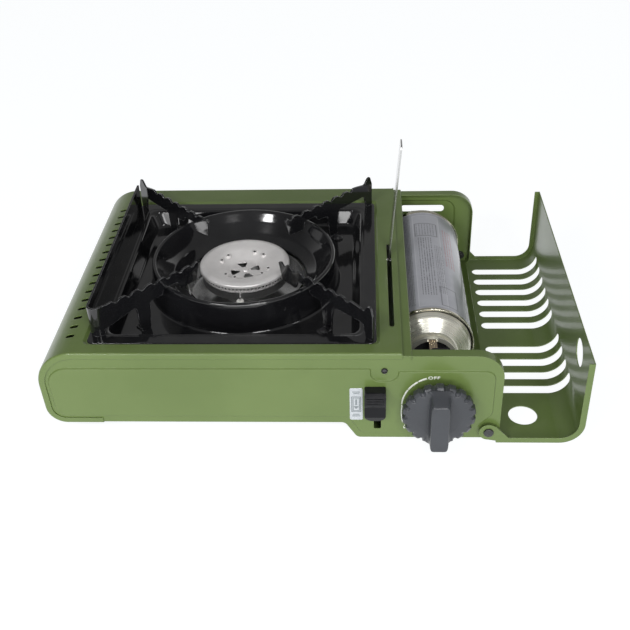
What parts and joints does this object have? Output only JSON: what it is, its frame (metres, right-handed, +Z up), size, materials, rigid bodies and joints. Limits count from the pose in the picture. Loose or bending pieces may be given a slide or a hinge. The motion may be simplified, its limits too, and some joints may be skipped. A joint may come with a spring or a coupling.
{
  "type": "butane cassette stove",
  "caption": "Portable gas stove with a lift-out black pan, serrated pot supports, dial knob, lock lever, canister and a hinged slotted lid.",
  "frame": {"origin": "centre of the whole object's footprint box with the lid open, at the level of the table", "axes": "+X to the canister side and open lid, +Y to the back, +Z up"},
  "size_m": [0.4009, 0.2836, 0.1782],
  "materials": {
    "green_paint": "satin green powder coat",
    "plain_steel": "zinc plated",
    "bright_steel": "bright rolled",
    "aluminium": "mill finish",
    "cast_aluminium": "as cast",
    "burner_steel": "satin stainless",
    "brass": "turned",
    "black_rubber": "matte",
    "yellow_zinc": "yellow passivated zinc",
    "black_plastic": "fine grain",
    "white_plastic": "gloss",
    "wire_cover": "silicone",
    "white_ceramic": "glazed",
    "dark_screw": "black oxide",
    "canister_print": "printed tinplate",
    "canister_tin": "lacquered tinplate",
    "dark_valve": "black",
    "black_enamel": "gloss enamel"
  },
  "bodies": {
    "stove": {"top_cover": "green_paint", "front_panel": "green_paint", "rear_panel": "green_paint", "base_plate": "plain_steel", "compartment_floor": "green_paint", "partition_plate": "green_paint", "heat_return_plate": "aluminium", "burner_bracket": "plain_steel", "burner_base": "cast_aluminium", "burner_port_ring": "burner_steel", "burner_cap": "burner_steel", "burner_cap_rivet": "burner_steel", "burner_reflector": "bright_steel", "mixing_tube": "bright_steel", "gas_jet": "brass", "regulator_body": "cast_aluminium", "regulator_cover": "bright_steel", "diaphragm": "black_rubber", "regulator_spring": "bright_steel", "regulator_screws": "bright_steel", "inlet_nozzle": "brass", "inlet_seal": "black_rubber", "canister_guide": "yellow_zinc", "igniter_body": "black_plastic", "ignition_wire": "wire_cover", "electrode_insulator": "white_ceramic", "electrode_pin": "bright_steel", "electrode_bracket": "plain_steel", "blade_bracket": "plain_steel", "blade_pin": "bright_steel", "panel_screw": "dark_screw", "lid_hinge_screws": "dark_screw", "foot_front_left": "black_rubber", "foot_rear_left": "black_rubber", "foot_front_right": "black_rubber", "foot_rear_right": "black_rubber"},
    "knob_group": {"knob": "black_plastic", "valve_spindle": "brass"},
    "igniter_group": {"igniter_plunger": "white_plastic"},
    "lever_group": {"lever_button": "black_plastic", "lock_lever": "plain_steel"},
    "carrier": {"carrier_plate": "plain_steel", "carrier_spring": "bright_steel"},
    "canister": {"canister_can": "canister_print", "canister_dome": "canister_tin", "canister_collar": "canister_tin", "canister_valve": "dark_valve"},
    "guard": {"guard_blade": "bright_steel"},
    "pan": {"drip_pan": "black_enamel", "pan_rivets": "dark_screw", "support_front_left": "black_enamel", "support_rear_right": "black_enamel", "support_rear_left": "black_enamel", "support_front_right": "black_enamel"},
    "lid_body": {"lid": "green_paint"}
  },
  "joints": [
    {"name": "lid_hinge", "type": "hinge", "parent": "stove", "child": "lid_body", "pos_m": [0.13046, 0.0107, 0.0105], "axis": [0, 1, 0], "range_deg": [-90, 0]},
    {"name": "knob_turn", "type": "hinge", "parent": "stove", "child": "knob_group", "pos_m": [0.09246, -0.1253, 0.0344], "axis": [0, -1, 0], "range_deg": [0, 110]},
    {"name": "igniter_push", "type": "slide", "parent": "stove", "child": "igniter_group", "axis": [0, 0, 1], "range_m": [0, 0.004]},
    {"name": "lever_press", "type": "slide", "parent": "stove", "child": "lever_group", "axis": [0, 0, -1], "range_m": [0, 0.0085]},
    {"name": "carrier_slide", "type": "slide", "parent": "stove", "child": "carrier", "axis": [0, -1, 0], "range_m": [0, 0.005]},
    {"name": "canister_lift", "type": "slide", "parent": "carrier", "child": "canister", "axis": [0.7071, 0, 0.7071], "range_m": [0, 0.06]},
    {"name": "guard_fold", "type": "hinge", "parent": "stove", "child": "guard", "pos_m": [0.05876, 0.0247, 0.0725], "axis": [0.9965, 0, -0.0837], "range_deg": [0, 90]},
    {"name": "pan_lift", "type": "slide", "parent": "stove", "child": "pan", "axis": [0, 0, 1], "range_m": [0, 0.06]}
  ],
  "couplings": [
    {"joint": "igniter_push", "follows": "knob_turn", "m_per_rad": 0.0020835},
    {"joint": "lever_press", "follows": "carrier_slide", "ratio": 1.7}
  ]
}
